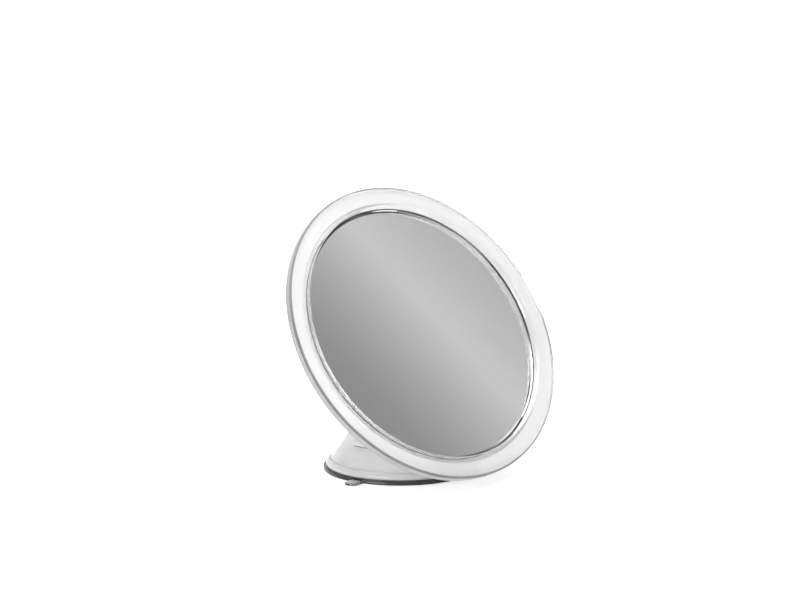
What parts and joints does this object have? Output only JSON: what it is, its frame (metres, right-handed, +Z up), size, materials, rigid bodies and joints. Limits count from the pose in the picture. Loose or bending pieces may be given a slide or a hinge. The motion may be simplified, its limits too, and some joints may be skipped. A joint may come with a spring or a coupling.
{
  "type": "suction shaving mirror",
  "caption": "Round mirror in a clear rim on a ball joint, standing on a clear conical base with a lever-locked suction cup.",
  "frame": {"origin": "centre of the suction cup's underside, on the table", "axes": "+Z up along the base's axis; the mirror faces -Y, tilted 31 degrees above horizontal; X lies along the tilt axis"},
  "size_m": [0.18, 0.1154, 0.1618],
  "materials": {
    "cup_pvc": "smoky clear soft PVC",
    "clear_base": "clear moulded plastic",
    "white_plastic": "satin",
    "screw_steel": "zinc plated",
    "stud_plastic": "satin",
    "lever_plastic": "clear moulded plastic",
    "washer_plastic": "natural acetal",
    "grey_plastic": "light grey",
    "bright_steel": "polished",
    "shell_plastic": "light grey, satin gloss",
    "clear_acrylic": "polished clear acrylic",
    "foam_tape": "white foam tape",
    "silver": "silvered",
    "mirror_glass": "polished flat glass"
  },
  "bodies": {
    "base": {"suction_cup": "cup_pvc", "base_ring": "clear_base", "cone_housing": "clear_base", "lever_frame": "white_plastic", "base_screw_1": "screw_steel", "base_screw_2": "screw_steel", "base_screw_3": "screw_steel", "lever_pin": "screw_steel"},
    "stud": {"cup_stud": "stud_plastic", "stud_crossbar": "screw_steel", "stud_nut": "screw_steel"},
    "lever": {"release_lever": "lever_plastic"},
    "turret": {"swivel_washer": "washer_plastic", "socket_cup": "grey_plastic", "swivel_plate": "screw_steel", "swivel_screw": "screw_steel", "seat_spring": "screw_steel", "ball_seat": "washer_plastic", "socket_collar": "grey_plastic"},
    "ball": {"ball_stud": "bright_steel", "friction_washer": "washer_plastic", "spin_plate": "screw_steel", "spin_screw": "screw_steel"},
    "head": {"pivot_hub": "grey_plastic", "hub_screw_1": "screw_steel", "hub_screw_2": "screw_steel", "hub_screw_3": "screw_steel", "back_shell": "shell_plastic", "acrylic_rim": "clear_acrylic", "tape_ring": "foam_tape", "silver_backing": "silver", "mirror_glass": "mirror_glass"}
  },
  "joints": [
    {"name": "lever_hinge", "type": "hinge", "parent": "base", "child": "lever", "pos_m": [-0.00756, -0.0026, 0.0285], "axis": [-0.3256, 0.9455, 0], "range_deg": [0, 35]},
    {"name": "stud_lift", "type": "slide", "parent": "base", "child": "stud", "axis": [0, 0, -1], "range_m": [0, 0.0031], "deforming": ["suction_cup"]},
    {"name": "turret_pan", "type": "hinge", "parent": "base", "child": "turret", "pos_m": [0, 0, 0.0464], "axis": [0, 0, 1], "continuous": true},
    {"name": "ball_tilt", "type": "hinge", "parent": "turret", "child": "ball", "pos_m": [0, 0, 0.0703], "axis": [1, 0, 0], "range_deg": [-57, 2]},
    {"name": "head_spin", "type": "hinge", "parent": "ball", "child": "head", "pos_m": [0, 0, 0.0703], "axis": [0, -0.8572, 0.515], "continuous": true}
  ],
  "couplings": [
    {"joint": "lever_hinge", "follows": "stud_lift", "rad_per_m": 196.08}
  ]
}
